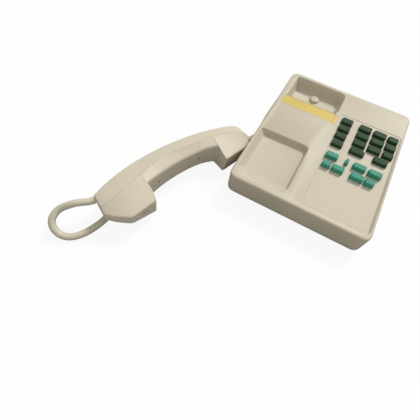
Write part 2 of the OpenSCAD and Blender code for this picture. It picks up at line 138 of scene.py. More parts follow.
# ---------------------------------------------------------------- handset cord
# A round cord with a smooth rubber jacket, 9 mm thick. It leaves the mouth end of the handset, turns back
# in a loop on the table, runs behind the handset and round the back of the base to its plug.
cord_radius = 0.0045
cord_floor = 4.6
cord_stops = [
    (-222.6, -241.65, 30.95), (-224.8, -244.5, 31.1), (-229.7, -249.5, 32.2), (-237.7, -257, 32.1),
    (-250.3, -268.8, 25.8), (-252.6, -281, 20.4), (-247.6, -288.8, 13.5), (-237, -290.8, 7),
    (-224.6, -285.2, cord_floor), (-214, -270.6, cord_floor), (-207.6, -250, cord_floor),
    (-206.6, -229.1, cord_floor), (-207, -206, cord_floor), (-206, -180, cord_floor),
    (-200, -151, cord_floor), (-189, -121, cord_floor), (-176, -89, cord_floor), (-165.5, -62, cord_floor),
    (-158.5, -46, cord_floor), (-151.5, -34.5, cord_floor), (-142, -27.5, cord_floor),
    (-128.3, -24.4, cord_floor), (-117.3, -21.1, cord_floor), (-109, -14.5, cord_floor),
    (-101.8, -0.7, cord_floor), (-101, 15.7, cord_floor), (-103.5, 50, cord_floor),
    (-103.5, 100, cord_floor), (-102.5, 145, cord_floor), (-95, 167, cord_floor), (-78, 180, cord_floor),
    (-50, 185, cord_floor), (-24, 186, cord_floor), (-8, 186.3, cord_floor), (6, 186.3, cord_floor),
    (19, 185.8, cord_floor), (29.2, 182.6, cord_floor), (35.7, 174.1, cord_floor),
    (36.2, 163.4, cord_floor), (30.4, 154.4, cord_floor), (20.6, 150.3, cord_floor), (9, 149.8, 4.8),
    (-3, 150.3, 5.8), (-15, 151, 8), (-27, 151.8, 11.6), (-37.5, 152, 15), (-46.3, 149.7, 16.9),
    (-52.7, 143.2, 17.9), (-55, 134.5, 18), (-55, 129.5, 18)]


def smooth_line(stops, steps):
    line = []
    for i in range(len(stops) - 1):
        a, b, c, d = (Vector(stops[max(0, min(len(stops) - 1, j))]) for j in (i - 1, i, i + 1, i + 2))
        for k in range(steps):
            t = k / steps
            line.append(b + (c - a) * t / 2 + (2 * a - 5 * b + 4 * c - d) * t * t / 2
                        + (3 * b - a - 3 * c + d) * t ** 3 / 2)
    return line + [Vector(stops[-1])]


def skin_mesh(name, rings):
    points = [p for r in rings for p in r]
    m = len(rings[0])
    faces = [(i * m + j, i * m + (j + 1) % m, (i + 1) * m + (j + 1) % m, (i + 1) * m + j)
             for i in range(len(rings) - 1) for j in range(m)]
    faces += [tuple(range(m - 1, -1, -1)), tuple(range((len(rings) - 1) * m, len(rings) * m))]
    mesh = bpy.data.meshes.new(name)
    mesh.from_pydata([tuple(p) for p in points], [], faces)
    fix = bmesh.new()
    fix.from_mesh(mesh)
    bmesh.ops.recalc_face_normals(fix, faces=fix.faces)
    fix.to_mesh(mesh)
    fix.free()
    return mesh


def tube_rings(line, radius, sides):
    rings = []
    for i, p in enumerate(line):
        way = (line[min(i + 1, len(line) - 1)] - line[max(i - 1, 0)]).normalized()
        side = way.cross(Vector((0, 0, 1))).normalized()
        rise = side.cross(way)
        rings.append([p + radius * (math.cos(a) * side + math.sin(a) * rise)
                      for a in (2 * math.pi * k / sides for k in range(sides))])
    return rings


def piece_of(name, mesh, mat, angle=35):
    piece = bpy.data.objects.new(name, mesh)
    bpy.context.scene.collection.objects.link(piece)
    mesh.materials.clear()
    mesh.materials.append(mat)
    for f in mesh.polygons:
        f.material_index = 0
        f.use_smooth = True
    mesh.set_sharp_from_angle(angle=math.radians(angle))
    return piece


def moulded_plastic(name, colour, rough=0.5, grain=900, bump=0.06, stain=0.05, edge=0.05, coat=0.0,
                    gloss=0.4):
    """Moulded plastic: fine spark-eroded grain, slow changes of tone, and rubbed edges a little paler."""
    mat, nodes, links = material(name)
    place = nodes.new("ShaderNodeTexCoord")
    slow = nodes.new("ShaderNodeTexNoise")
    slow.inputs["Scale"].default_value = 14
    slow.inputs["Detail"].default_value = 4
    links.new(place.outputs["Object"], slow.inputs["Vector"])
    tone = nodes.new("ShaderNodeMapRange")
    tone.inputs["From Min"].default_value = 0.3
    tone.inputs["From Max"].default_value = 0.7
    tone.inputs["To Min"].default_value = 1 - stain
    tone.inputs["To Max"].default_value = 1 + stain * 0.6
    links.new(slow.outputs["Fac"], tone.inputs["Value"])
    corner = nodes.new("ShaderNodeNewGeometry")
    rub = nodes.new("ShaderNodeMapRange")
    rub.inputs["From Min"].default_value = 0.52
    rub.inputs["From Max"].default_value = 0.62
    rub.inputs["To Min"].default_value = 1.0
    rub.inputs["To Max"].default_value = 1 + edge
    links.new(corner.outputs["Pointiness"], rub.inputs["Value"])
    both = nodes.new("ShaderNodeMath")
    both.operation = "MULTIPLY"
    links.new(tone.outputs["Result"], both.inputs[0])
    links.new(rub.outputs["Result"], both.inputs[1])
    dye = nodes.new("ShaderNodeVectorMath")
    dye.operation = "SCALE"
    dye.inputs[0].default_value = colour
    links.new(both.outputs[0], dye.inputs["Scale"])
    fine = nodes.new("ShaderNodeTexNoise")
    fine.inputs["Scale"].default_value = grain
    fine.inputs["Detail"].default_value = 2
    links.new(place.outputs["Object"], fine.inputs["Vector"])
    shine = nodes.new("ShaderNodeMapRange")
    shine.inputs["From Min"].default_value = 0.3
    shine.inputs["From Max"].default_value = 0.7
    shine.inputs["To Min"].default_value = rough - 0.05
    shine.inputs["To Max"].default_value = rough + 0.06
    links.new(slow.outputs["Fac"], shine.inputs["Value"])
    relief = nodes.new("ShaderNodeBump")
    relief.inputs["Strength"].default_value = bump
    relief.inputs["Distance"].default_value = 0.0002
    links.new(fine.outputs["Fac"], relief.inputs["Height"])
    surface = nodes.new("ShaderNodeBsdfPrincipled")
    surface.inputs["Coat Weight"].default_value = coat
    surface.inputs["Coat Roughness"].default_value = 0.25
    surface.inputs["Specular IOR Level"].default_value = gloss
    links.new(dye.outputs[0], surface.inputs["Base Color"])
    links.new(shine.outputs["Result"], surface.inputs["Roughness"])
    links.new(relief.outputs["Normal"], surface.inputs["Normal"])
    out = nodes.new("ShaderNodeOutputMaterial")
    links.new(surface.outputs[0], out.inputs["Surface"])
    return mat


def tint(r, g, b):
    return tuple(c / 3294.6 if c <= 10 else ((c / 255 + 0.055) / 1.055) ** 2.4 for c in (r, g, b))


cord_jacket = moulded_plastic("cord_jacket", tint(216, 208, 185), rough=0.42, grain=500, bump=0.04, stain=0.04,
                              edge=0)
cord_line = [p * 0.001 for p in smooth_line(cord_stops, 6)]
cord = piece_of("cord_jacket", skin_mesh("cord_jacket", tube_rings(cord_line, cord_radius, 20)), cord_jacket)
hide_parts("handset_cord")
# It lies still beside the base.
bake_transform(cord)


# ---------------------------------------------------------------- upper shell
# The top half of the case, one moulding in beige plastic 2.2 mm thick: a sloping top with a deep well and
# a shallow well for the handset, and a slope that falls from a ridge to the recess of the keypad.
pitch = math.radians(3.8)
top_middle = 45.904
case_width, case_depth, case_corner, seam_height = 195, 238, 10, 10.5
beige = tint(209, 199, 177)


def on_top(x, y, z=0.0):
    return Vector((x, y * math.cos(pitch) - z * math.sin(pitch),
                   top_middle + y * math.sin(pitch) + z * math.cos(pitch)))


def level(x, y, z):
    return Vector((x, y, z))


def flat_loop(outline, z, place):
    return [place(p.x, p.y, z) for p in outline]


def circle(x, y, r, steps=24):
    return [Vector((x + r * math.cos(2 * math.pi * k / steps), y + r * math.sin(2 * math.pi * k / steps)))
            for k in range(steps)]


def rounded(corners, steps=8):
    """Outline through corners (x, y, radius), the same number of points at each corner."""
    outline = []
    for i, (x, y, r) in enumerate(corners):
        here = Vector((x, y))
        back = (Vector(corners[i - 1][:2]) - here)
        ahead = (Vector(corners[(i + 1) % len(corners)][:2]) - here)
        half = back.angle(ahead) / 2
        reach = min(r / math.tan(half), back.length * 0.49, ahead.length * 0.49)
        start, end = here + back.normalized() * reach, here + ahead.normalized() * reach
        for k in range(steps + 1):
            t = k / steps
            outline.append(start * (1 - t) ** 2 + here * (2 * t * (1 - t)) + end * t * t)
    return outline


def between(outer, inner, t):
    return [a.lerp(b, t) for a, b in zip(outer, inner)]


def flat_fill(mesh, outer, holes, place):
    """Fills the plane between one outline and the holes in it."""
    loops = [outer] + holes
    points, edges = [], []
    for loop in loops:
        first = len(points)
        points += loop
        edges += [(first + i, first + (i + 1) % len(loop)) for i in range(len(loop))]
    verts, _, faces, _, _, _ = geometry.delaunay_2d_cdt(points, edges, [], 0, 1e-5)
    made = [mesh.verts.new(place(v.x, v.y)) for v in verts]

    def within(p, loop):
        inside = False
        for i, a in enumerate(loop):
            b = loop[i - 1]
            if (a.y > p.y) != (b.y > p.y) and p.x < (b.x - a.x) * (p.y - a.y) / (b.y - a.y) + a.x:
                inside = not inside
        return inside
    for f in faces:
        middle = sum((verts[i] for i in f), Vector((0, 0))) / len(f)
        if within(middle, outer) and not any(within(middle, h) for h in holes):
            mesh.faces.new([made[i] for i in f])


def loft(mesh, loops):
    """Strips of faces between loops with the same number of points."""
    rows = [[mesh.verts.new(p) for p in loop] for loop in loops]
    for upper, lower in zip(rows, rows[1:]):
        for i in range(len(upper)):
            j = (i + 1) % len(upper)
            mesh.faces.new([upper[i], upper[j], lower[j], lower[i]])


def case_outline(inset):
    w, d, r = case_width / 2 - inset, case_depth / 2 - inset, max(case_corner - inset, 1) * 1.25
    return rounded([(-w, -d, r), (w, -d, r), (w, d, r), (-w, d, r)], 10)


def finish_mesh(mesh, name, wall=None, weld=1e-3):
    """Welds, turns the faces outwards, scales to metres and gives the skin its wall."""
    bmesh.ops.remove_doubles(mesh, verts=mesh.verts, dist=weld)
    bmesh.ops.dissolve_degenerate(mesh, edges=mesh.edges, dist=weld / 2)
    bmesh.ops.recalc_face_normals(mesh, faces=mesh.faces)
    bmesh.ops.scale(mesh, vec=(0.001,) * 3, verts=mesh.verts)
    made = bpy.data.meshes.new(name)
    mesh.to_mesh(made)
    mesh.free()
    if wall:
        skin = bpy.data.objects.new(name, made)
        bpy.context.scene.collection.objects.link(skin)
        thick = skin.modifiers.new("wall", "SOLIDIFY")
        thick.thickness = wall / 1000
        thick.offset = -1
        thick.use_even_offset = False
        made = applied(skin)
    return made


def applied(obj):
    """The object's mesh with its modifiers applied; the object itself is removed."""
    graph = bpy.context.evaluated_depsgraph_get()
    mesh = bpy.data.meshes.new_from_object(obj.evaluated_get(graph), depsgraph=graph)
    mesh.name = obj.name
    bpy.data.objects.remove(obj)
    return mesh


shell = bmesh.new()
# outer wall, up from the seam and over the rounded rim
rim_radius = 2.8
wall_loops = [flat_loop(case_outline(inset), seam_height + rise, level)
              for inset, rise in ((0.7, 0), (0.25, 0.15), (0, 0.6))]
for a in range(0, 91, 15):
    inset = rim_radius * (1 - math.cos(math.radians(a)))
    drop = rim_radius * (1 - math.sin(math.radians(a)))
    loop = case_outline(inset)
    wall_loops.append([Vector((p.x, p.y, top_middle + p.y * math.tan(pitch) - drop)) for p in loop])
top_edge = [Vector((p.x, (p.z - top_middle) * math.sin(pitch) + p.y * math.cos(pitch)))
            for p in wall_loops[-1]]
wall_loops[-1] = flat_loop(top_edge, 0, on_top)
loft(shell, wall_loops)

# rear well: steep at the back and right, sloping at the left, its front edge left crisp
rear_rim = rounded([(-88, 61.8, 1), (-4.2, 61.8, 4), (-4.2, 112.8, 10), (-88, 112.8, 6)])
rear_wall = rounded([(-87, 62.0, 1), (-5, 62.0, 4), (-5, 112, 9.5), (-87, 112, 5.5)])
rear_foot = rounded([(-82.4, 62.6, 1.5), (-8.2, 62.6, 4), (-8.2, 110.4, 8.5), (-82.4, 110.4, 5)])
rear_floor = rounded([(-80.6, 64, 2), (-9.6, 64, 4), (-9.6, 108.8, 7.5), (-80.6, 108.8, 5)])
rear_depth, hole_lip = 16, 0.8
well = [flat_loop(rear_rim, 0, on_top), flat_loop(between(rear_rim, rear_wall, 0.55), -0.15, on_top),
        flat_loop(rear_wall, -0.7, on_top)]
for t in (0.33, 0.66, 1):
    well.append(flat_loop(between(rear_wall, rear_foot, t), -0.7 - (rear_depth - 2.4) * t, on_top))
well.append(flat_loop(between(rear_foot, rear_floor, 0.5), -rear_depth + 0.45, on_top))
well.append(flat_loop(rear_floor, -rear_depth, on_top))
loft(shell, well)
hook_at = Vector((-47, 92))
hook_hole = circle(hook_at.x, hook_at.y, 7.4, 48)
flat_fill(shell, rear_floor, [hook_hole], lambda x, y: on_top(x, y, -rear_depth))
loft(shell, [flat_loop(hook_hole, z, on_top) for z in (-rear_depth, -rear_depth - hole_lip)])

# front well: broad chamfers at the left and front, steep at the back and right
front_rim = rounded([(-94, -19.6, 6), (-94, -99.5, 6), (-83, -113.2, 6),
                     (-25.5, -109.6, 9), (-18.6, -99.5, 9), (-18.2, -17.8, 9)])
front_wall = rounded([(-92.6, -20.4, 5), (-92.6, -98.8, 6), (-82.2, -112.2, 6),
                      (-26, -108.6, 9), (-19.6, -99.2, 9), (-19.2, -18.8, 8)])
front_foot = rounded([(-85.6, -21.2, 5), (-85.6, -93.6, 6), (-78, -105.8, 6),
                      (-26.8, -104.6, 8), (-20.4, -96.2, 8), (-20.2, -19.8, 8)])
front_floor = rounded([(-82.8, -23, 5), (-82.8, -92.6, 6), (-76.4, -103, 6),
                       (-28.4, -101.6, 7), (-22.6, -95, 7), (-22.4, -21.8, 7)])
front_depth = 8
well = [flat_loop(front_rim, 0, on_top), flat_loop(between(front_rim, front_wall, 0.6), -0.2, on_top),
        flat_loop(front_wall, -0.8, on_top)]
for t in (0.5, 1):
    well.append(flat_loop(between(front_wall, front_foot, t), -0.8 - (front_depth - 1.8) * t, on_top))
well.append(flat_loop(between(front_foot, front_floor, 0.45), -front_depth + 0.3, on_top))
well.append(flat_loop(front_floor, -front_depth, on_top))
loft(shell, well)
flat_fill(shell, front_floor, [], lambda x, y: on_top(x, y, -front_depth))

# ridge, slope and keypad recess
panel_tilt, panel_axis, panel_drop = math.radians(1.1), 20, -2.25


def panel_height(y):
    return panel_drop + (y + panel_axis) * math.tan(panel_tilt)


crest_loop = rounded([(-6, 69.2, 3), (-18, -19, 40), (-7, -112.6, 5), (-1.5, -114, 3),
                      (94.2, -112.4, 10), (96.2, -20, 60), (94.4, 69.2, 5)])
crest_inner = rounded([(-5, 68.8, 3), (-16.4, -19, 40), (-5.8, -111.6, 5), (-0.5, -112.6, 3),
                       (93.6, -111.4, 9), (95.0, -20, 60), (93.8, 68.6, 4)])
panel_outer = rounded([(2.8, 67.9, 1.5), (2.2, -19, 60), (2.4, -108.6, 2), (6, -108.8, 3),
                       (92.8, -108.6, 7), (92.7, -20, 60), (92.6, 67.8, 3)])
panel_inner = rounded([(3.5, 67.5, 1), (3.5, -19, 60), (3.5, -107.5, 2), (8, -107.5, 3),
                       (92.3, -107.5, 6), (92.3, -20, 60), (92.3, 67.5, 2)])


def sloped(outline, share, drop=0):
    return [on_top(p.x, p.y, share * panel_height(p.y) - drop) for p in outline]


slope = [flat_loop(crest_loop, 0, on_top)]
slope.append([on_top(p.x, p.y, 0.14 * panel_height(q.y)) for p, q in zip(crest_inner, panel_outer)])
slope += [sloped(between(crest_inner, panel_outer, t), 0.14 + 0.82 * t) for t in (0.3, 0.6, 0.9)]
slope.append(sloped(between(panel_outer, panel_inner, 0.4), 0.99))
slope += [sloped(panel_inner, 1), sloped(panel_inner, 1, 2)]
loft(shell, slope)
flat_fill(shell, top_edge, [rear_rim, front_rim, crest_loop], on_top)
upper_mesh = finish_mesh(shell, "case_top", wall=2.2)

# two openings for the sockets in the back wall
case_plastic = moulded_plastic("case_plastic", beige, rough=0.5)
upper = piece_of("case_top", upper_mesh, case_plastic, angle=28)
plug_x, line_x = -55, 40
opening_size, opening_y, opening_z = (0.014, 0.03, 0.013), 0.115, 0.018
for x in (plug_x, line_x):
    cutter_mesh = bpy.data.meshes.new("socket_opening")
    cut = bmesh.new()
    bmesh.ops.create_cube(cut, size=1)
    bmesh.ops.scale(cut, vec=opening_size, verts=cut.verts)
    bmesh.ops.translate(cut, vec=(x / 1000, opening_y, opening_z), verts=cut.verts)
    cut.to_mesh(cutter_mesh)
    cut.free()
    cutter = bpy.data.objects.new("socket_opening", cutter_mesh)
    bpy.context.scene.collection.objects.link(cutter)
    opening = upper.modifiers.new("socket", "BOOLEAN")
    opening.operation = "DIFFERENCE"
    opening.solver = "EXACT"
    opening.object = cutter
    upper_mesh = applied(upper)
    bpy.data.objects.remove(cutter)
    upper = piece_of("case_top", upper_mesh, case_plastic, angle=28)
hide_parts("upper_shell")
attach(upper, "base")


# ---------------------------------------------------------------- lower shell
# The tray that the case stands on, in the same plastic a shade darker. It meets the top in a fine seam and
# curves in towards its floor, which has sound holes, screw wells, keyholes and seats for the feet.
tray_plastic = moulded_plastic("tray_plastic", tint(203, 193, 171), rough=0.55)
tray = bmesh.new()
floor_height, tray_step, draw_in, draw_spread = 2, 0.1, 5, 1.25
tray_bottom = case_outline(tray_step + draw_in * draw_spread)
tray_loops = [flat_loop(case_outline(0.75), seam_height, level),
              flat_loop(case_outline(0.3), seam_height - 0.2, level)]
for a in range(0, 91, 10):
    inset = tray_step + draw_in * (1 - math.cos(math.radians(a))) * draw_spread
    z = seam_height - 0.6 - (seam_height - 0.6 - floor_height) * math.sin(math.radians(a))
    tray_loops.append(flat_loop(case_outline(inset), z, level))
loft(tray, tray_loops)


foot_places = [(-62, -100), (62, -100), (0, 0), (-62, 100), (62, 100)]
screw_places = [(x, y) for x in (-82, 82) for y in (-104, 104)]
ringer_x, ringer_y, ringer_ring, through = 48, -76, 12, 2.4
floor_holes = [(circle(x, y, 7.1, 32), 1) for x, y in foot_places]
floor_holes += [(circle(x, y, 3.75), 3) for x, y in screw_places]
floor_holes += [(circle(0, y, 3.5), through) for y in (-45, 45)]
for a in (math.pi * k / 4 for k in range(8)):
    slot = circle(ringer_x + ringer_ring * math.cos(a), ringer_y + ringer_ring * math.sin(a), 2, 16)
    floor_holes.append((slot, through))
flat_fill(tray, tray_bottom, [h for h, _ in floor_holes], lambda x, y: level(x, y, floor_height))
for hole, depth in floor_holes:
    loft(tray, [flat_loop(hole, z, level) for z in (floor_height, floor_height + depth)])
    if depth < through:
        flat_fill(tray, hole, [], lambda x, y: level(x, y, floor_height + depth))
lower = piece_of("case_tray", finish_mesh(tray, "case_tray", wall=2), tray_plastic, angle=28)
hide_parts("lower_shell")
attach(lower, "base")


# ---------------------------------------------------------------- keys
# Twenty-three hard plastic caps, each on its own slide with a flange under the panel and a stem down to
# the rubber mat: four rows of dark green keys, and two rows of taller teal ones in front of them.


def on_panel(x, y, z):
    away = y + panel_axis
    return on_top(x, away * math.cos(panel_tilt) - z * math.sin(panel_tilt) - panel_axis,
                  panel_drop + away * math.sin(panel_tilt) + z * math.cos(panel_tilt))


def capped(mesh, loops):
    """A loft with both ends filled."""
    for end in (loops[0], loops[-1]):
        mesh.faces.new([mesh.verts.new(p) for p in end])
    loft(mesh, loops)


dark_key = moulded_plastic("dark_key", tint(54, 78, 52), rough=0.55, grain=1500, bump=0.05, stain=0.07,
                           edge=0.1, gloss=0.1)
teal_key = moulded_plastic("teal_key", tint(72, 158, 134), rough=0.5, grain=1500, bump=0.05, stain=0.05,
                           edge=0.1, gloss=0.15)
flange_wide, stem_radius = 0.9, 1.7
key_rows = [("a", 49.3, ((5.2, 16.5), (32.5, 18), (54, 18.5), (75.5, 14.3))),
            ("b", 33.6, ((5.2, 16.5), (32.5, 18), (54, 18.5), (75.5, 14.3))),
            ("c", 18.0, ((5.2, 16.0), (32.5, 18), (54, 18.5), (75.5, 14.3))),
            ("d", 2.3, ((5.2, 16.0), (32.5, 20.5), (66.5, 19.5))),
            ("e", -22.0, ((5.2, 17.2), (33.2, 4.3), (44.7, 17.6), (66.3, 18))),
            ("f", -39.5, ((6, 11.8), (20.2, 16), (46.1, 18.1), (66.3, 12.6)))]
for row, front, places in key_rows:
    teal = row in "ef"
    deep, stand = (9, 6.5) if teal else (10.5, 5)
    for n, (left, wide) in enumerate(places, 1):
        def cap_outline(inset, r, cut=3.2 if (row, n) == ("d", 2) else 0):
            x0, x1, y0, y1 = left + inset, left + wide - inset, front + inset, front + deep - inset
            r = min(r, (x1 - x0) / 2 - 0.1)
            far = [(x1, y1 - cut, 0.6), (x1 - cut, y1, 0.6)] if cut else [(x1, y1, r)]
            return rounded([(x0, y0, r), (x1, y0, r)] + far + [(x0, y1, r)], 5)

        cap = bmesh.new()
        sizes = [(-2.9, 0, 1.7), (0, 0.02, 1.7), (stand - 1.9, 0.1, 1.8), (stand - 1, 0.2, 1.8),
                 (stand - 0.45, 0.4, 1.8), (stand - 0.14, 0.7, 1.7), (stand, 1.15, 1.5)]
        if wide > 6:
            sizes += [(stand - 0.08, 2.6, 1.0), (stand - 0.16, 3.6, 0.8)]
        capped(cap, [flat_loop(cap_outline(i, r), z, on_panel) for z, i, r in sizes])
        capped(cap, [flat_loop(cap_outline(-flange_wide, 0.6), z, on_panel) for z in (-3.2, -2.2)])
        middle = Vector((left + wide / 2, front + deep / 2))
        stem = circle(middle.x, middle.y, stem_radius, 20)
        capped(cap, [flat_loop(stem, z, on_panel) for z in (-5.9, -2.5)])
        name = "key_%s%d" % (row, n)
        cap_name = "cap_%s%d" % (row, n)
        key = piece_of(cap_name, finish_mesh(cap, cap_name), teal_key if teal else dark_key, angle=32)
        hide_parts(name)
        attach(key, name)


# ---------------------------------------------------------------- index label
# A thin yellow paper label stuck across the bar between the wells. It folds over the ridge, its edges fade
# softly into the beige of the case, and its yellow is soiled in blotches.
# A dark line along its back edge, where the rear well's rim meets it, is painted shadow.
surface = bvhtree.BVHTree.FromObject(upper, bpy.context.evaluated_depsgraph_get())


def laid_on(x, y, lift):
    """A point on top of the case, straight above or below x, y of the sloping top."""
    start = on_top(x, y, 20) / 1000
    hit = surface.ray_cast(start, (on_top(0, 0, 0) - on_top(0, 0, 1)).normalized())[0]
    return hit + Vector((0, -math.sin(pitch), math.cos(pitch))) * lift


label_left, label_wide, label_columns = -90.4, 91.2, 76
label_front, label_deep, label_rows = 42.2, 19.45, 16
label_lift = 0.0002
label_x = [label_left + label_wide * i / label_columns for i in range(label_columns + 1)]
label_y = [label_front + label_deep * j / label_rows for j in range(label_rows + 1)]
label_points = [laid_on(x, y, label_lift) for y in label_y for x in label_x]
across = len(label_x)
label_faces = [(j * across + i, j * across + i + 1, (j + 1) * across + i + 1, (j + 1) * across + i)
               for j in range(len(label_y) - 1) for i in range(across - 1)]
label_mesh = bpy.data.meshes.new("index_label")
label_mesh.from_pydata([tuple(p) for p in label_points], [], label_faces)
label_skin = bpy.data.objects.new("index_label", label_mesh)
bpy.context.scene.collection.objects.link(label_skin)
label_thick = label_skin.modifiers.new("paper", "SOLIDIFY")
label_thick.thickness = 0.00012
label_thick.offset = -1

label_paper, nodes, links = material("label_paper")
place = nodes.new("ShaderNodeTexCoord")
axes = nodes.new("ShaderNodeSeparateXYZ")
links.new(place.outputs["Object"], axes.inputs[0])
wander = nodes.new("ShaderNodeTexNoise")
wander.inputs["Scale"].default_value = 60
wander.inputs["Detail"].default_value = 5
links.new(place.outputs["Object"], wander.inputs["Vector"])
share = None
for axis, low, high, soft in (("X", -0.0903, 0.0007, 0.003), ("Y", 0.0421, 0.066, 0.002)):
    for edge, sign in ((low, 1), (high, -1)):
        inwards = nodes.new("ShaderNodeMapRange")
        inwards.interpolation_type = "SMOOTHSTEP"
        inwards.inputs["From Min"].default_value = edge
        inwards.inputs["From Max"].default_value = edge + sign * soft
        links.new(axes.outputs[axis], inwards.inputs["Value"])
        if share is None:
            share = inwards.outputs["Result"]
        else:
            both = nodes.new("ShaderNodeMath")
            both.operation = "MULTIPLY"
            links.new(share, both.inputs[0])
            links.new(inwards.outputs["Result"], both.inputs[1])
            share = both.outputs[0]
soil = nodes.new("ShaderNodeMix")
soil.data_type = "RGBA"
soil.inputs["A"].default_value = (*tint(225, 202, 88), 1)
soil.inputs["B"].default_value = (*tint(214, 186, 92), 1)
links.new(wander.outputs["Fac"], soil.inputs["Factor"])
fade = nodes.new("ShaderNodeMix")
fade.data_type = "RGBA"
fade.inputs["A"].default_value = (*beige, 1)
links.new(share, fade.inputs["Factor"])
links.new(soil.outputs["Result"], fade.inputs["B"])
# Two fine lines: a dark painted shadow along the back edge at the rear well's rim, and a darker yellow line
# along the fold over the ridge.
edge_shadow_and_fold_lines = (("Y", 0.0614, 0.0006, tint(96, 78, 42)), ("X", -0.0064, 0.0004, tint(176, 148, 66)))
for axis, middle, half_wide, shade_of in edge_shadow_and_fold_lines:
    away = nodes.new("ShaderNodeMath")
    away.operation = "COMPARE"
    away.inputs[1].default_value = middle
    away.inputs[2].default_value = half_wide
    links.new(axes.outputs[axis], away.inputs[0])
    line = nodes.new("ShaderNodeMix")
    line.data_type = "RGBA"
    line.inputs["B"].default_value = (*shade_of, 1)
    links.new(away.outputs[0], line.inputs["Factor"])
    links.new(fade.outputs["Result"], line.inputs["A"])
    fade = line
paper = nodes.new("ShaderNodeBsdfPrincipled")
paper.inputs["Roughness"].default_value = 0.55
links.new(fade.outputs["Result"], paper.inputs["Base Color"])
paper_out = nodes.new("ShaderNodeOutputMaterial")
links.new(paper.outputs[0], paper_out.inputs["Surface"])
label = piece_of("index_label", applied(label_skin), label_paper)
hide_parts("index_strip")
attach(label, "base")


# ---------------------------------------------------------------- hook plunger
# A flat-topped button with a rounded edge, in the rear well, that the handset presses down. It has a flange
# under the well's floor and a stem to the switch.


def turned(mesh, profile, place, sides=48):
    """A shape turned on an axis from (radius, height) pairs; place maps x, y, z to the frame."""
    turn = [2 * math.pi * k / sides for k in range(sides)]
    capped(mesh, [[place(r * math.cos(a), r * math.sin(a), z) for a in turn] for r, z in profile])


def at_hook(x, y, z):
    return on_top(hook_at.x + x, hook_at.y + y, z)


plunger = bmesh.new()
plunger_top, plunger_foot, shoulder_drop = -12, -18.7, 1.9
shoulder_at = plunger_top - shoulder_drop
shoulder = [(5 + 2 * math.cos(a), shoulder_at + 1.7 * math.sin(a))
            for a in (math.radians(d) for d in range(10, 91, 10))]
turned(plunger, [(7, plunger_foot), (7, shoulder_at)] + shoulder
       + [(3.5, plunger_top - 0.12), (1.5, plunger_top - 0.02)], at_hook)
turned(plunger, [(9.2, -20.2), (9.5, -20), (9.5, -18.9), (9.2, -18.7)], at_hook)
turned(plunger, [(2.5, -24.2), (2.5, -19.7)], at_hook, sides=24)
plunger_plastic = moulded_plastic("plunger_plastic", tint(203, 194, 170), rough=0.4, coat=0.1)
hook = piece_of("hook_button", finish_mesh(plunger, "hook_button"), plunger_plastic, angle=40)
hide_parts("hook_plunger")
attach(hook, "hook_plunger")


# ---------------------------------------------------------------- handset
# Two moulded shells that meet in a fine seam, 2.2 mm thick: a flat-backed one, and one in front of it that
# carries the mouth and ear cups. Flat sides and rounded edges; sound holes in both cups.
hand_pose = (Matrix.Translation((-0.247, -0.224, 0.0331)) @ Matrix.Rotation(math.radians(62.5), 4, "Z")
             @ Matrix.Rotation(math.radians(2.5), 4, "Y") @ Matrix.Rotation(math.radians(94.5), 4, "X"))
hand_long = 230
cup_edge, grip_edge, back_edge = 2.2, 3, 3.5
seam_half = [(0, 10), (6, 13), (15, 16.2), (30, 19.5), (50, 21.6), (70, 22), (180, 22), (206, 21.7),
             (221, 20.7), (227, 18.5), (230, 14.5)]
face_half = [(0, 7), (27, 8.5), (62, 14.5), (62.1, 19.3), (90, 16.5), (140, 15.8), (176.9, 18), (177, 14),
             (213, 13.5), (224, 12), (230, 9.5)]
chin = [(0, 58), (9, 67), (26, 78), (62, 73)]
ear_cup = [(177, 60), (213, 54), (224, 48.5), (230, 44)]


def along(table, u):
    for (a, p), (b, q) in zip(table, table[1:]):
        if u <= b:
            return p + (q - p) * max(0, u - a) / (b - a)
    return table[-1][1]


def eased(table, u, reach=2.5):
    """The table's value with its corners rounded off."""
    low, high = table[0][0], table[-1][0]
    reach = min(reach, u - low, high - u) if low <= u <= high else 0
    return sum(along(table, u + reach * k / 3) for k in range(-3, 4)) / 7


def seam_line(u):
    return 21.5 + 13.75 * (1 + math.cos(math.pi * min(u, 118) / 118)) + 0.0042 * max(u - 165, 0) ** 2


def back_line(u):
    return 0.0014 * (u - 138) ** 2 + 0.002 * max(u - 205, 0) ** 2


def under_line(u):
    return 33.5 + 0.0019 * max(150 - u, 0) ** 2 + 0.006 * max(u - 150, 0) ** 2


def shell_ring(u, edge, edge_half, way, r, shrink=0.0):
    """One section of a shell, from seam to seam round its two edges. way is 1 towards the cups, -1 to the
    back."""
    seam, half = seam_line(u), eased(seam_half, u, 4) - shrink
    edge_half, edge = edge_half - shrink, edge - way * shrink
    corner, side, flat = Vector((edge_half, edge)), Vector((half, seam + way * 0.36)), Vector((0, edge))
    start = corner + (side - corner).normalized() * min(r, (side - corner).length * 0.45)
    end = corner + (flat - corner).normalized() * min(r, edge_half * 0.45)
    crown = Vector((0, edge + way * 0.25))
    right = [Vector((half - 0.4, seam + way * 0.04)), side, side.lerp(start, 0.06), side.lerp(start, 0.92)]
    right += [start * (1 - t) ** 2 + corner * (2 * t * (1 - t)) + end * t * t
              for t in (0, 0.2, 0.4, 0.6, 0.8, 1)]
    right.append(end.lerp(crown, 0.1))
    return [Vector((u, p.x, p.y)) for p in right + [crown]] + [Vector((u, -p.x, p.y)) for p in reversed(right)]


def shell_skin(rings, name):
    skin = bmesh.new()
    rows = [[skin.verts.new(p) for p in ring] for ring in rings]
    for a, b in zip(rows, rows[1:]):
        for i in range(len(a) - 1):
            skin.faces.new([a[i], a[i + 1], b[i + 1], b[i]])
    skin.faces.new(rows[0])
    skin.faces.new(rows[-1])
    mesh = finish_mesh(skin, name, wall=2.2, weld=1e-4)
    mesh.transform(hand_pose)
    return mesh


def stretch(a, b, n):
    return [a + (b - a) * k / n for k in range(n + 1)]


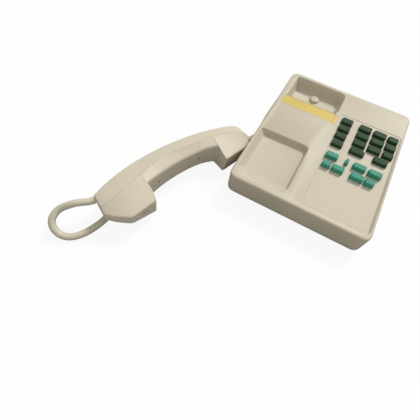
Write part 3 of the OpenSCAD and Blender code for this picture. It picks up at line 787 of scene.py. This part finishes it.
ends = [(0, 1.3), (0.25, 0.7), (0.7, 0.25), (1.4, 0)]
mouth_u = ends + [(u, 0) for u in stretch(3, 60, 30)]
front_rings = [shell_ring(u, eased(chin, u, 3.5), eased(face_half[:3], u), 1, cup_edge, s) for u, s in mouth_u]
for u, drop in ((61, 0.2), (61.6, 0.7), (62, 1.7)):
    front_rings.append(shell_ring(u, along(chin, u) - drop, 14.5 + drop * 0.2, 1, cup_edge))
grip_stops = [(62.1, 2.2), (62.5, 0.9), (63.6, 0.2)] + [(u, 0) for u in stretch(66, 173, 40)]
grip_stops += [(175.4, 0.2), (176.5, 0.9), (176.9, 2.2)]
for u, rise in grip_stops:
    front_rings.append(shell_ring(u, under_line(u) + rise, along(face_half, u), 1, grip_edge))
for u, drop in ((177, 1.7), (177.4, 0.7), (178, 0.2)):
    front_rings.append(shell_ring(u, along(ear_cup, u) - drop, 14 + drop * 0.2, 1, cup_edge))
far_end = [(hand_long - u, s) for u, s in reversed(ends)]
for u, s in [(u, 0) for u in stretch(179.5, 227, 24)] + far_end:
    front_rings.append(shell_ring(u, eased(ear_cup, u, 3.5), eased(face_half[7:], u), 1, cup_edge, s))
back_u = ends + [(u, 0) for u in stretch(3, 227, 90)] + far_end
back_rings = [shell_ring(u, back_line(u), 0.6 * eased(seam_half, u, 4), -1, back_edge, s) for u, s in back_u]

# holes: sound holes over the microphone and receiver, two screw wells, and one for the cord's gland
mic_lean, ear_lean = math.atan(5 / 36), math.atan(6 / 36)
hole_frames = ([(Matrix.Translation((44, 0, 75.5)) @ Matrix.Rotation(mic_lean, 4, "Y"), 1.2, 4.6)]
               + [(Matrix.Translation((199, 0, 56.3)) @ Matrix.Rotation(ear_lean, 4, "Y"), 1.2, 6)])
cutters = bmesh.new()
for pose, radius, spread in hole_frames:
    sound_hole = [(radius + 0.5, 3), (radius + 0.5, 0.2), (radius, -0.3), (radius, -4)]
    for k in range(7):
        x, y = (0, 0) if k == 6 else (spread * math.cos(math.pi * k / 3), spread * math.sin(math.pi * k / 3))
        turned(cutters, sound_hole, lambda a, b, z: pose @ Vector((x + a, y + b, z)), 20)
for u in (82, 150):
    turned(cutters, [(2.7, under_line(u) - 3), (2.7, under_line(u) + 4)],
           lambda a, b, z: Vector((u + a, b, z)), 24)
gland_pose = Matrix.Translation((2, 0, 31)) @ Matrix.Rotation(math.radians(-100), 4, "Y")
turned(cutters, [(3.6, -6), (3.6, 6)], lambda a, b, z: gland_pose @ Vector((a, b, z)), 32)
bmesh.ops.recalc_face_normals(cutters, faces=cutters.faces)
bmesh.ops.scale(cutters, vec=(0.001,) * 3, verts=cutters.verts)
bmesh.ops.transform(cutters, matrix=hand_pose, verts=cutters.verts)
cutter_mesh = bpy.data.meshes.new("handset_holes")
cutters.to_mesh(cutter_mesh)
cutters.free()
cutter = bpy.data.objects.new("handset_holes", cutter_mesh)
bpy.context.scene.collection.objects.link(cutter)
handset_plastic = moulded_plastic("handset_plastic", tint(222, 212, 190), rough=0.46)
for name, rings in (("handset_front_shell", front_rings), ("handset_back_shell", back_rings)):
    solid = piece_of("body_" + name, shell_skin(rings, "body_" + name), handset_plastic)
    holes = solid.modifiers.new("holes", "BOOLEAN")
    holes.operation = "DIFFERENCE"
    holes.solver = "EXACT"
    holes.object = cutter
    half_mesh = applied(solid)
    half = piece_of("body_" + name, half_mesh, handset_plastic, angle=30)
    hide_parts(name)
    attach(half, "handset")
bpy.data.objects.remove(cutter)


# ---------------------------------------------------------------- cord gland and plug
# A short moulded sleeve where the cord enters the handset, and at the other end a modular plug in clear
# grey plastic with its latch, and a ribbed sleeve that keeps the cord from kinking.
sleeve = bmesh.new()
gland_profile = [(3.5, -4), (3.5, 3), (4.5, 3), (4.9, 3.3), (4.95, 4), (4.8, 5), (4.6, 6), (4.5, 6.6)]
turned(sleeve, gland_profile, lambda a, b, z: gland_pose @ Vector((a, b, z)), 40)
gland_mesh = finish_mesh(sleeve, "gland_sleeve")
gland_mesh.transform(hand_pose)
gland = piece_of("gland_sleeve", gland_mesh, cord_jacket, angle=50)
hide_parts("cord_gland")
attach(gland, "handset")

plug_at = Vector((plug_x, 119, 18))
plug = bmesh.new()


def at_plug(x, y, z):
    return plug_at + Vector((x, y, z))


def block(mesh, low, high, place, r=0.5):
    """A block with its four long edges and both ends eased, lying along y."""
    x0, y0, z0 = low
    x1, y1, z1 = high
    loops = []
    for y, inset in ((y0, r * 0.8), (y0 + r * 0.8, 0), (y1 - r * 0.8, 0), (y1, r * 0.8)):
        left, right, under, over = x0 + inset, x1 - inset, z0 + inset, z1 - inset
        outline = rounded([(left, under, r), (right, under, r), (right, over, r), (left, over, r)], 3)
        loops.append([place(p.x, y, p.y) for p in outline])
    capped(mesh, loops)


block(plug, (-4.8, -10, -3.8), (4.8, 3, 3.6), at_plug)
block(plug, (-1.7, -9, 3.4), (1.7, 1.5, 4.2), lambda x, y, z: at_plug(x, y, z + (y + 9) * 0.06), r=0.25)
boot = [(5.7, 3), (5.7, 4.2), (5.2, 4.3), (5.2, 4.9), (5.6, 5), (5.6, 6.1), (5.1, 6.2), (5.1, 6.8),
        (5.45, 6.9), (5.45, 8), (5, 8.1), (5, 8.6), (5.3, 8.7), (5.1, 10.6), (4.9, 11)]
turned(plug, boot, lambda a, b, z: at_plug(a, z, b), 40)
plug_plastic = moulded_plastic("plug_plastic", tint(205, 199, 178), rough=0.3, coat=0.3, bump=0.02)
plug_piece = piece_of("cord_plug", finish_mesh(plug, "cord_plug"), plug_plastic, angle=40)
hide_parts("handset_plug")
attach(plug_piece, "base")


# ---------------------------------------------------------------- feet
# Five round rubber feet, glued in seats in the tray: each has an eased edge and a ring moulded in its face.


def repeated(name, source, spots, mat):
    """Copies of a small mesh, source, set at spots (points in metres), as one plain mesh."""
    cloud = bpy.data.meshes.new(name + "_spots")
    cloud.from_pydata([tuple(p) for p in spots], [], [])
    carrier = bpy.data.objects.new(name, cloud)
    model = bpy.data.objects.new(name + "_one", source)
    for o in (carrier, model):
        bpy.context.scene.collection.objects.link(o)
    tree = bpy.data.node_groups.new(name + "_set_out", "GeometryNodeTree")
    tree.interface.new_socket("Geometry", in_out="INPUT", socket_type="NodeSocketGeometry")
    size = tree.interface.new_socket("Size", in_out="INPUT", socket_type="NodeSocketFloat")
    tree.interface.new_socket("Geometry", in_out="OUTPUT", socket_type="NodeSocketGeometry")
    start, end = tree.nodes.new("NodeGroupInput"), tree.nodes.new("NodeGroupOutput")
    one = tree.nodes.new("GeometryNodeObjectInfo")
    one.inputs["Object"].default_value = model
    copies = tree.nodes.new("GeometryNodeInstanceOnPoints")
    real = tree.nodes.new("GeometryNodeRealizeInstances")
    dress = tree.nodes.new("GeometryNodeSetMaterial")
    dress.inputs["Material"].default_value = mat
    tree.links.new(start.outputs["Geometry"], copies.inputs["Points"])
    tree.links.new(one.outputs["Geometry"], copies.inputs["Instance"])
    tree.links.new(start.outputs["Size"], copies.inputs["Scale"])
    tree.links.new(copies.outputs["Instances"], real.inputs["Geometry"])
    tree.links.new(real.outputs["Geometry"], dress.inputs["Geometry"])
    tree.links.new(dress.outputs["Geometry"], end.inputs["Geometry"])
    set_out = carrier.modifiers.new("set_out", "NODES")
    set_out.node_group = tree
    set_out[size.identifier] = 1.0
    mesh = applied(carrier)
    bpy.data.objects.remove(model)
    return piece_of(name, mesh, mat)


def small_mesh(name, build):
    made = bmesh.new()
    build(made)
    return finish_mesh(made, name)


foot_rubber = moulded_plastic("foot_rubber", tint(46, 46, 45), rough=0.75, grain=700, bump=0.15, stain=0.12,
                              edge=0.2)
foot_profile = [(7, 3), (7, 0.5), (6.85, 0.15), (6.5, 0), (4.6, 0), (4.4, 0.3), (3.6, 0.3), (3.4, 0), (0.4, 0)]
one_foot = small_mesh("foot", lambda made: turned(made, foot_profile, level, 40))
feet = repeated("feet", one_foot, [(x / 1000, y / 1000, 0) for x, y in foot_places], foot_rubber)
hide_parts("rubber_feet")
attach(feet, "base")


# ---------------------------------------------------------------- screws
# Four slotted steel screws hold the tray to the case, and two smaller ones hold the handset together.
steel, nodes, links = material("bright_steel")
place = nodes.new("ShaderNodeTexCoord")
brushed = nodes.new("ShaderNodeTexNoise")
brushed.inputs["Scale"].default_value = 800
links.new(place.outputs["Object"], brushed.inputs["Vector"])
dull = nodes.new("ShaderNodeMapRange")
dull.inputs["To Min"].default_value = 0.25
dull.inputs["To Max"].default_value = 0.42
links.new(brushed.outputs["Fac"], dull.inputs["Value"])
metal = nodes.new("ShaderNodeBsdfPrincipled")
metal.inputs["Base Color"].default_value = (0.62, 0.62, 0.6, 1)
metal.inputs["Metallic"].default_value = 1
links.new(dull.outputs["Result"], metal.inputs["Roughness"])
metal_out = nodes.new("ShaderNodeOutputMaterial")
links.new(metal.outputs[0], metal_out.inputs["Surface"])


def screw_shape(made):
    half_slot, head_radius, shank_radius, arc_steps = 0.4, 3.0, 1.5, 16
    start = math.asin(half_slot / head_radius)
    for side in (-1, 1):
        arc = [start + (math.pi - 2 * start) * k / arc_steps for k in range(arc_steps + 1)]
        outline = [Vector((head_radius * math.cos(a), side * head_radius * math.sin(a))) for a in arc]
        inner = [p * 0.93 + Vector((0, side * 0.02)) for p in outline]
        capped(made, [flat_loop(o, z, level) for o, z in ((inner, 0), (outline, 0.2), (outline, 0.9))])
    turned(made, [(head_radius, 0.8), (head_radius, 2.4)], level, 32)
    turned(made, [(shank_radius, 2.3), (shank_radius, 13.6), (1.0, 14.3)], level, 20)


case_screw = repeated("case_screw_set", small_mesh("case_screw", screw_shape),
                      [(x / 1000, y / 1000, 0.0026) for x, y in screw_places], steel)
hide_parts("case_screws")
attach(case_screw, "base")


# ---------------------------------------------------------------- hook spring
# A steel compression spring of five turns round the plunger's stem, between its flange and the switch.
# Its lower end stays on the switch.
spring_top, spring_foot, hook_travel = -20.65, -29.07, 3.5
spring_turns, spring_radius, spring_wire = 5, 5, 0.4
turn_steps = 40


def spring_point(share):
    angle = 2 * math.pi * spring_turns * share
    return at_hook(spring_radius * math.cos(angle), spring_radius * math.sin(angle),
                   spring_top + (spring_foot - spring_top) * share)


spring_line = [spring_point(k / (spring_turns * turn_steps)) for k in range(spring_turns * turn_steps + 1)]
coil = bmesh.new()
capped(coil, tube_rings(spring_line, spring_wire, 10))
spring = piece_of("hook_coil", finish_mesh(coil, "hook_coil"), steel)
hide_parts("hook_spring")
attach(spring, "base")
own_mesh(spring)


# ---------------------------------------------------------------- socket contacts
# Six gold-plated spring wires in the line socket, sloping back from its floor.
gold, nodes, links = material("gold_plate")
glint = nodes.new("ShaderNodeBsdfPrincipled")
glint.inputs["Base Color"].default_value = (0.83, 0.6, 0.22, 1)
glint.inputs["Metallic"].default_value = 1
glint.inputs["Roughness"].default_value = 0.25
gold_out = nodes.new("ShaderNodeOutputMaterial")
links.new(glint.outputs[0], gold_out.inputs["Surface"])
wire_line = [Vector(p) for p in ((0, 0, 0), (0, -2, 0.2), (0, -5, 1.4), (0, -7.2, 2.4))]


def wire_shape(made):
    loft(made, tube_rings(wire_line, 0.22, 8))


wires = repeated("socket_wires", small_mesh("socket_wire", wire_shape),
                 [((line_x - 2.55 + 1.02 * k) / 1000, 0.1175, 0.01435) for k in range(6)], gold)
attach(wires, "base")


# ---------------------------------------------------------------- parts inside
# What the shells hide: two boards and their flat cable, the rubber key mat, the sounder, the hook switch,
# the sockets, the ballast, and the handset's two capsules with their seals, screws and wires.
def dressed(mat, *names):
    for n in names:
        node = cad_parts[n]
        node.data.materials.clear()
        node.data.materials.append(mat)


def two_tone(name, first, second, scale, rough, bands=False, metallic=0.0):
    """A finish with a pattern in two colours: spots of noise, or even bands along x."""
    mat, nodes, links = material(name)
    place = nodes.new("ShaderNodeTexCoord")
    if bands:
        pattern = nodes.new("ShaderNodeTexWave")
        pattern.inputs["Scale"].default_value = scale
        result = pattern.outputs["Fac"]
    else:
        pattern = nodes.new("ShaderNodeTexVoronoi")
        pattern.inputs["Scale"].default_value = scale
        pattern.distance = "CHEBYCHEV"
        result = pattern.outputs["Distance"]
    links.new(place.outputs["Object"], pattern.inputs["Vector"])
    mix = nodes.new("ShaderNodeMix")
    mix.data_type = "RGBA"
    mix.inputs["A"].default_value = (*first, 1)
    mix.inputs["B"].default_value = (*second, 1)
    links.new(result, mix.inputs["Factor"])
    shade = nodes.new("ShaderNodeBsdfPrincipled")
    shade.inputs["Roughness"].default_value = rough
    shade.inputs["Metallic"].default_value = metallic
    links.new(mix.outputs["Result"], shade.inputs["Base Color"])
    out = nodes.new("ShaderNodeOutputMaterial")
    links.new(shade.outputs[0], out.inputs["Surface"])
    return mat


board_lacquer = two_tone("board_lacquer", tint(34, 92, 48), tint(62, 128, 70), 420, 0.35)
cable_grey = two_tone("cable_grey", tint(150, 154, 160), tint(120, 124, 130), 130, 0.5, bands=True)
black_plastic = moulded_plastic("black_plastic", tint(36, 37, 40), rough=0.45, grain=800, stain=0.1, edge=0.3)
mat_rubber = moulded_plastic("mat_rubber", tint(82, 84, 86), rough=0.7, grain=500, bump=0.1)
ballast_steel = two_tone("ballast_steel", (0.3, 0.31, 0.32), (0.42, 0.42, 0.43), 60, 0.45, metallic=0.9)
wire_jacket = moulded_plastic("wire_jacket", tint(170, 52, 44), rough=0.45)
dressed(case_plastic, "keypad_plate")
dressed(board_lacquer, "main_board", "keypad_board")
dressed(cable_grey, "ribbon_cable")
dressed(black_plastic, "ringer", "hook_switch", "line_socket", "handset_socket", "microphone", "receiver")
dressed(mat_rubber, "key_mat", "mic_seal", "receiver_seal")
dressed(steel, "handset_screws")
dressed(ballast_steel, "ballast_plate", "handset_weight")
dressed(wire_jacket, "handset_leads")
